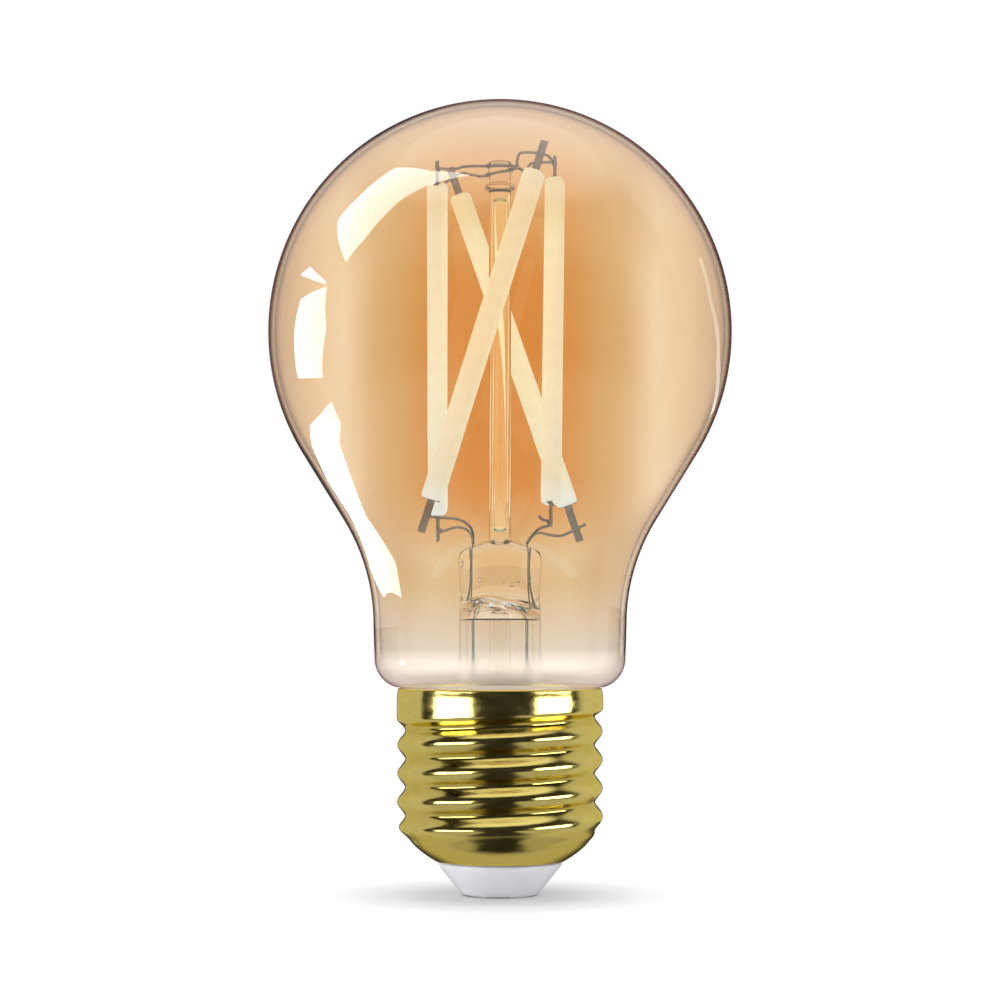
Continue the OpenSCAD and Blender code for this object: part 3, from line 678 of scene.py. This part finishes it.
# ---- Filaments ----

def bar_axes(name):
    """Middle (in millimetres), width axis, outward axis and length axis of a CAD bar."""
    mesh = frame["nodes"][name].data
    points = np.array([list(v.co) for v in mesh.vertices])
    middle = (points.min(axis=0) + points.max(axis=0)) / 2
    values, axes = np.linalg.eigh(np.cov((points - middle).T))
    up = Vector(axes[:, 2])
    if up.z < 0:
        up = -up
    out = Vector(axes[:, 0])
    if out.x * middle[0] + out.y * middle[1] < 0:
        out = -out
    return Vector(middle) / MM, out.cross(up), out, up


def as_matrix(origin, x_axis, y_axis, z_axis):
    made = Matrix.Identity(4)
    for i, axis in enumerate((x_axis, y_axis, z_axis)):
        made.col[i][:3] = axis
    made.translation = origin
    return made


FILAMENT_L = 44.0
FILAMENT_W = 2.7
FILAMENT_T = 2.5
# Bare tab above and below each filament
TAB_LENGTHS = {"front": (4.0, 4.3), "right": (3.2, 2.9), "rear": (4.0, 5.0), "left": (2.9, 3.9)}
TAB_W = 1.0
TAB_T = 0.3
JAW_W = 2.2
filaments = {}


def phosphor_bar():
    """A bar along Z with round edges and softly domed ends."""
    half = FILAMENT_L / 2
    ends = [(0.0, 0.55), (0.06, 0.78), (0.2, 0.92), (0.45, 0.985), (0.8, 1.0)]
    levels = [(-half + step, size) for step, size in ends]
    levels += [(-half + 1.6 * i, 1.0) for i in range(1, 27)]
    levels += [(half - step, size) for step, size in reversed(ends)]
    return loft([squircle(FILAMENT_W / 2 * size, FILAMENT_T / 2 * size, z, 3.2, 40) for z, size in levels])


def clip(sign, tab_l):
    """The clip at one end of a filament, with its bare tab and the weld's dimple."""
    half = FILAMENT_L / 2 * sign
    tab = soft_box((TAB_W, TAB_T, tab_l + 1.2), 0.06)
    collar = soft_box((JAW_W, 0.75, 0.5), 0.12)
    weld_side = [(0, -0.27), (0.22, -0.25), (0.34, -0.16), (0.34, 0.16), (0.22, 0.25), (0, 0.27)]
    weld = lathe(weld_side, 20, closed=False)
    return [
        placed(tab, Matrix.Translation((0, 0, half + sign * (tab_l - 1.2) / 2))),
        placed(collar, Matrix.Translation((0, 0, half - sign * 0.2))),
        placed(weld, Matrix.Translation((0, 0, half + sign * 2.1)) @ Matrix.Rotation(TURN / 4, 4, "X")),
    ]


for side in ("front", "right", "rear", "left"):
    middle, width_axis, out_axis, up_axis = bar_axes(f"filament_{side}_substrate")
    at = as_matrix(middle, width_axis, out_axis, up_axis)
    filaments[side] = at
    piece(f"{side}_phosphor", [placed(phosphor_bar(), at)], GLOW, "phosphor", f"filament_{side}_phosphor")
    above, below = TAB_LENGTHS[side]
    clips = [placed(part, at) for part in clip(1, above) + clip(-1, below)]
    piece(f"{side}_clips", clips, TABS, "nickel_tab", f"filament_{side}_terminals")


# ---- Wires ----

WIRE_R = 0.19
TAB_GAP = TAB_T / 2 + WIRE_R + 0.02


def beside_tab(side, upper, past, shift):
    """A point on a tab's inner face, so far past the filament's end and shifted across it."""
    sign = 1 if upper else -1
    return tuple(filaments[side] @ Vector((shift, -TAB_GAP, sign * (FILAMENT_L / 2 + past))))


upper_ends = [(-2.2, 0, head_z0 + 3.3), (1.9, 0, head_z0 + 3.3)]
lower_ends = [(-2.2, 0.2, head_z0 + 2.0), (2.0, -0.6, head_z0 + 2.85)]
upper_route = [
    beside_tab("left", True, 1.8, -0.6), beside_tab("left", True, 1.8, 0.8),
    (-6.4, -4.9, 92.9), (-5.5, -3.2, 93.4), (-4.8, -1.9, 93.9), (-3.6, -0.5, 94.3), *upper_ends,
    (2.2, 0.1, 94.9), (2.4, 0.3, 95.8), (2.9, 0.6, 96.35), (4.8, 1.0, 96.4), (6.1, 1.4, 96.2),
    beside_tab("right", True, 2.5, 0.9), beside_tab("right", True, 2.3, -0.7),
]
lower_route = [
    beside_tab("rear", True, 2.2, -1.3), beside_tab("rear", True, 2.6, 0.9),
    (-4.7, 4.8, 94.5), (-3.9, 3, 93.9), (-3.1, 1.1, 93.4), *lower_ends,
    (2.5, -1.3, 93.8), (3.1, -2.7, 93.2), (3.5, -4.3, 93.1), (3.75, -5.3, 93.3),
    beside_tab("front", True, 0.9, 0.7), beside_tab("front", True, 1.6, -1.6),
]
piece("wire_upper", [tube(upper_route, WIRE_R)], NICKEL, "nickel_wire", "support_wire_upper")
piece("wire_lower", [tube(lower_route, WIRE_R)], NICKEL, "nickel_wire", "support_wire_lower")

board_low, board_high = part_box("driver_board")
LEAD_X = 3.5
LEAD_Y = 0.9
# The glass round the feet of the leads makes them look thinner than the bare wire
FOOT_WIRE_R = 0.09
FOOT_POINTS = 6


def lead_foot(sx, sy):
    """From the driver board up through the flare and the press."""
    gap = WIRE_R + 0.02
    face = board_low[1] / MM - gap if sy < 0 else board_high[1] / MM + gap
    beside_board = [(sx * 4.4, face, 16.7), (sx * 4.4, face, 19.7), (sx * 3.9, face + sy * 0.1, 22.6)]
    return beside_board + [(sx * LEAD_X, sy * LEAD_Y, z) for z in (27.1, 36, 45.2)]


lead_routes = {
    "front": lead_foot(-1, -1) + [
        (-3.5, -1.5, 46.3), (-3.9, -2.6, 47.3), (-5.3, -4.4, 48.1),
        beside_tab("front", False, 1.9, -1.2), beside_tab("front", False, 2.2, 0.5)],
    "right": lead_foot(1, -1) + [
        (4.1, -1.6, 46.1), (4.8, -3.0, 46.8), (5.5, -4.3, 47.1),
        beside_tab("right", False, 2.6, -0.7), beside_tab("right", False, 2.3, 0.5),
        (5.4, -6.8, 47.9), (4.9, -6.7, 48.4)],
    "rear": lead_foot(1, 1) + [
        (4.2, 1.5, 46.2), (5.2, 2.5, 46.7), (6.4, 3.8, 46.5), (8, 4.9, 46.4),
        beside_tab("rear", False, 3.4, -0.9), beside_tab("rear", False, 3.1, 1.5)],
    "left": lead_foot(-1, 1) + [
        (-3.6, 1.4, 46.1), (-4.1, 2.1, 46.9), (-4.9, 3.2, 47.4), (-6.1, 4.9, 47.5),
        beside_tab("left", False, 2.4, -0.9), beside_tab("left", False, 2.4, 0.6)],
}
for side, route in lead_routes.items():
    foot = tube(route[:FOOT_POINTS], FOOT_WIRE_R)
    bare = tube(route[FOOT_POINTS - 1:], WIRE_R)
    piece(f"lead_{side}", [foot, bare], NICKEL, "nickel_wire", f"lead_wire_{side}")


# ---- Screw cap ----

CREST_R = 13.2
ROOT_R = 12.2
PITCH = 3.629
COLLAR_R = 13.3
FIRST_CREST_Z = 10.05
THREAD_POWER = 0.8
BOWL_END_Z = 8.5
SHELL_WALL = 0.3
COLLAR_TAPER = 0.15
shell_low, shell_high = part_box("cap_shell")
shell_z0 = shell_low[2] / MM
shell_z1 = shell_high[2] / MM


def shell_r(a, z):
    """Outer radius of the brass at an angle and a height."""
    rise = min(z, BOWL_END_Z) - shell_z0
    bowl = 8.35 + 1.72 * rise - 0.19 * rise * rise
    phase = TURN * (z - FIRST_CREST_Z) / PITCH - a
    thread = ROOT_R + (CREST_R - ROOT_R) * ((1 + math.cos(phase)) / 2) ** THREAD_POWER
    screw = blend(bowl, thread, smoothstep((z - 6.9) / 2.3))
    collar = COLLAR_R - COLLAR_TAPER * smoothstep((z - shell_z1 + 1.3) / 1.3)
    collar_start = 21.6 + 0.6 * (1 + math.cos(a))
    return blend(screw, max(screw, collar), smoothstep((z - collar_start) / 1.1))


def polar(r, turn, z):
    return (r * math.cos(TURN * turn), r * math.sin(TURN * turn), z)


def screw_shell(sides=160):
    """The shell's outer and inner skins, joined at the foot and at the rim."""
    rim = [(-0.02, 0.0), (-0.1, 0.08), (-0.2, 0.1), (-0.28, 0.06)]
    levels = [shell_z0 + 0.1 * i for i in range(int((shell_z1 - 0.12 - shell_z0) / 0.1) + 1)]
    verts = []
    for z in levels:
        verts += [polar(shell_r(TURN * s / sides, z), s / sides, z) for s in range(sides)]
    for inwards, up in rim:
        for s in range(sides):
            verts.append(polar(COLLAR_R - COLLAR_TAPER + inwards, s / sides, shell_z1 - 0.1 + up))
    for z in reversed(levels):
        verts += [polar(shell_r(TURN * s / sides, z) - SHELL_WALL, s / sides, z) for s in range(sides)]
    rows = len(verts) // sides
    faces = []
    for i in range(rows):
        j = (i + 1) % rows
        for s in range(sides):
            t = (s + 1) % sides
            faces.append((i * sides + s, i * sides + t, j * sides + t, j * sides + s))
    return verts, faces


piece("screw_shell", [screw_shell()], BRASS, "brass_shell", "cap_shell")

contact_low, contact_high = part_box("centre_contact")
contact_r = (contact_high[0] - contact_low[0]) / 2 / MM
insulator_low, insulator_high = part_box("cap_insulator")
insulator_z0 = insulator_low[2] / MM
insulator_z1 = insulator_high[2] / MM
PIN_R = 1.2
insulator_side = (
    [(contact_r + 0.02, insulator_z0)] + arc(4.8, insulator_z0 + 0.3, 0.3, -90, -45, 10)
    + arc(7.55, shell_z0 - 0.38, 0.4, -45, 35, 16)
    + [(7.74, shell_z0 - 0.03), (7.7, shell_z0 + 0.7), (8.3, shell_z0 + 1.1), (8.3, insulator_z1)]
    + [(PIN_R + 0.02, insulator_z1), (PIN_R + 0.02, 0.62), (contact_r + 0.02, 0.62)])
piece("insulator", [lathe(insulator_side, 128)], INSULATOR, "white_insulator", "cap_insulator")
contact_side = [
    (0, 0.06), (1.1, 0.05), (1.5, 0.0), (contact_r - 0.3, 0.0), (contact_r - 0.12, 0.03),
    (contact_r - 0.02, 0.12), (contact_r, 0.25), (contact_r, 0.6), (PIN_R, 0.6),
    (PIN_R, insulator_z1 + 0.4), (PIN_R - 0.2, insulator_z1 + 0.6), (0, insulator_z1 + 0.6)]
piece("contact", [lathe(contact_side, closed=False)], CONTACT, "contact_metal", "centre_contact")


# ---- Camera, floor and light ----

scene = bpy.context.scene
camera_data = bpy.data.cameras.new("camera")
camera_data.lens = 83.6
camera_data.sensor_width = 36
CAMERA_DISTANCE = 0.300
CAMERA_HEIGHT = 0.0321
CAMERA_TILT_UP = 3.54
camera = bpy.data.objects.new("camera", camera_data)
camera.location = (0, -CAMERA_DISTANCE, CAMERA_HEIGHT)
camera.rotation_euler = (math.radians(90 + CAMERA_TILT_UP), 0, 0)
scene.collection.objects.link(camera)
scene.camera = camera


def floor_material():
    """Pale paper that keeps white under the studio light, with a painted contact shadow close under the lamp.
    """
    material, tree, shader = new_material("floor_paper")
    tree.links.new(ramp(tree, noise(tree, 300.0), [(0.3, (0.44, 0.44, 0.445)), (0.7, (0.46, 0.46, 0.465))]),
                   shader.inputs["Base Color"])
    shader.inputs["Roughness"].default_value = 0.9
    shader.inputs["Specular IOR Level"].default_value = 0.0
    # Painted shadow: the floor's glow fades where other things are near, so it darkens close under the lamp
    contact_shade = node(tree, "ShaderNodeAmbientOcclusion", Distance=0.014, samples=16)
    shade = ramp(tree, contact_shade.outputs["AO"], [(0.0, (0.15, 0.15, 0.16)), (1.0, (1.0, 1.0, 1.0))])
    tree.links.new(shade, shader.inputs["Emission Color"])
    shader.inputs["Emission Strength"].default_value = 0.72
    return material


floor_verts, floor_faces = lathe([(0, 0), (60, 0), (300, 0), (3000, 0)], 64, closed=False)
floor = mesh_object("floor", floor_verts, floor_faces, floor_material())
floor.visible_glossy = False

world = bpy.data.worlds.new("studio")
scene.world = world
world.use_nodes = True
world_tree = world.node_tree
backdrop = world_tree.nodes["Background"]
backdrop.inputs["Color"].default_value = (1, 1, 1, 1)
backdrop.inputs["Strength"].default_value = 1.0


def world_light():
    """White backdrop for what is seen directly or through glass; a darker studio for mirror reflections."""
    tree = world_tree
    path = tree.nodes.new("ShaderNodeLightPath")
    place = tree.nodes.new("ShaderNodeTexCoord")
    split = tree.nodes.new("ShaderNodeSeparateXYZ")
    tree.links.new(place.outputs["Generated"], split.inputs["Vector"])
    across, away, up = (split.outputs[axis] for axis in "XYZ")
    overhead = fit(tree, up, 0.78, 0.86, 0.0, 1.3)
    to_the_sides = fit(tree, arithmetic(tree, "ABSOLUTE", across), 0.24, 0.34, 0.06, 1.0)
    ground = arithmetic(tree, "MULTIPLY", fit(tree, up, -0.3, -0.5, 0.0, 0.6), to_the_sides)
    grazing = fit(tree, away, 0.72, 0.90, 1.0, 0.12)
    behind = arithmetic(tree, "MULTIPLY", fit(tree, away, 0.06, 0.22, 0.03, 0.72), grazing)
    brightest = arithmetic(tree, "MAXIMUM", arithmetic(tree, "MAXIMUM", behind, overhead), ground)
    mirrored = tree.nodes.new("ShaderNodeBackground")
    tree.links.new(brightest, mirrored.inputs["Strength"])
    soft = tree.nodes.new("ShaderNodeBackground")
    soft.inputs["Strength"].default_value = 1.15
    result = backdrop.outputs["Background"]
    for ray, shader in (("Is Reflection Ray", mirrored), ("Is Diffuse Ray", soft)):
        mix = tree.nodes.new("ShaderNodeMixShader")
        tree.links.new(path.outputs[ray], mix.inputs["Fac"])
        tree.links.new(result, mix.inputs[1])
        tree.links.new(shader.outputs["Background"], mix.inputs[2])
        result = mix.outputs["Shader"]
    tree.links.new(result, tree.nodes["World Output"].inputs["Surface"])


world_light()


def receivers(name, *things):
    """The pieces that one set of cards lights."""
    group = bpy.data.collections.new(name)
    for thing in things:
        group.objects.link(thing)
    return group


def card(name, edge, other_edge, distance, strength, lit, soft=False):
    """A lit card round the lamp, between two edges of the same length; it is never in the picture itself.

    Their points are (azimuth in degrees from the front, height in millimetres). A card shows as a reflection,
    or it only adds soft light.
    """
    material = bpy.data.materials.new(name)
    material.use_nodes = True
    tree = material.node_tree
    tree.nodes.remove(tree.nodes["Principled BSDF"])
    glow = tree.nodes.new("ShaderNodeEmission")
    glow.inputs["Strength"].default_value = strength
    tree.links.new(glow.outputs["Emission"], tree.nodes["Material Output"].inputs["Surface"])
    verts = [(distance * math.sin(math.radians(a)), -distance * math.cos(math.radians(a)), z)
             for a, z in edge + other_edge]
    n = len(edge)
    faces = [(i, i + 1, n + i + 1, n + i) for i in range(n - 1)]
    thing = mesh_object(name, verts, faces, material, smooth=False)
    thing.visible_camera = False
    thing.visible_diffuse = soft
    thing.visible_glossy = not soft
    thing.visible_transmission = False
    thing.visible_shadow = False
    thing.light_linking.receiver_collection = lit
    return thing


def panel(name, azimuth0, azimuth1, low, high, distance, strength, lit, soft=False):
    """An upright card with straight edges, in steps that keep it at one distance."""
    azimuths = [azimuth0 + (azimuth1 - azimuth0) * i / 6 for i in range(7)]
    foot = [(a, low) for a in azimuths]
    top = [(a, high) for a in azimuths]
    return card(name, foot, top, distance, strength, lit, soft)


metal = receivers("lit_metal", pieces["screw_shell"], pieces["insulator"], pieces["contact"])
glass = receivers("lit_glass", pieces["envelope"])
insulation = receivers("lit_insulator", pieces["insulator"])
SOFTBOX_AT, SOFTBOX_LIGHT = 500, 5.2
WALL_AT = 24
WINDOW_AT, WINDOW_LIGHT = 130, 9.0
panel("softbox_left", -76, -31, -110, 135, SOFTBOX_AT, SOFTBOX_LIGHT, metal)
panel("softbox_right", 40, 84, -110, 135, SOFTBOX_AT, SOFTBOX_LIGHT, metal)
panel("wall_left", -132, -72, -2, 34, WALL_AT, 0.58, metal)
panel("wall_right", 80, 132, 6, 36, WALL_AT, 0.62, metal)
panel("insulator_light", -120, -60, -150, 60, 520, 9.0, insulation, soft=True)
# The tall window's panes, each between its outer and its inner edge
WINDOW_PANES = {
    "window_upper": ([(-89, 147), (-100, 165), (-100, 203), (-103, 278), (-71, 363), (-31, 421)],
                     [(-77, 127), (-71, 154), (-68, 191), (-66, 226), (-59, 285), (-31, 415)]),
    "window_sliver": ([(-103, 121), (-86, 110)], [(-109, 114), (-87, 108)]),
    "window_middle": ([(-104, 98), (-108, 80), (-112, 52)], [(-85, 106), (-83, 73), (-92, 40)]),
    "window_lower": ([(-93, 20), (-104, 20), (-112, 22), (-120, 26), (-140, 27)],
                     [(-96, 0), (-104, -6), (-110, -8), (-122, -11), (-139, 8)]),
}
for name, (outer, inner) in WINDOW_PANES.items():
    card(name, outer, inner, WINDOW_AT, WINDOW_LIGHT, glass)
card("streak_right", [(114, 124), (113, 98), (124, 66), (140, 52)],
     [(118, 124), (117, 98), (128, 72), (143, 58)], WINDOW_AT, 1.6, glass)

scene.view_settings.view_transform = "Standard"
scene.view_settings.look = "None"
scene.cycles.max_bounces = 24
scene.cycles.transmission_bounces = 20
scene.cycles.transparent_max_bounces = 16
scene.cycles.glossy_bounces = 8
scene.cycles.diffuse_bounces = 3
scene.cycles.use_denoising = True
scene.cycles.caustics_refractive = True
scene.cycles.caustics_reflective = False
scene.cycles.sample_clamp_indirect = 4.0
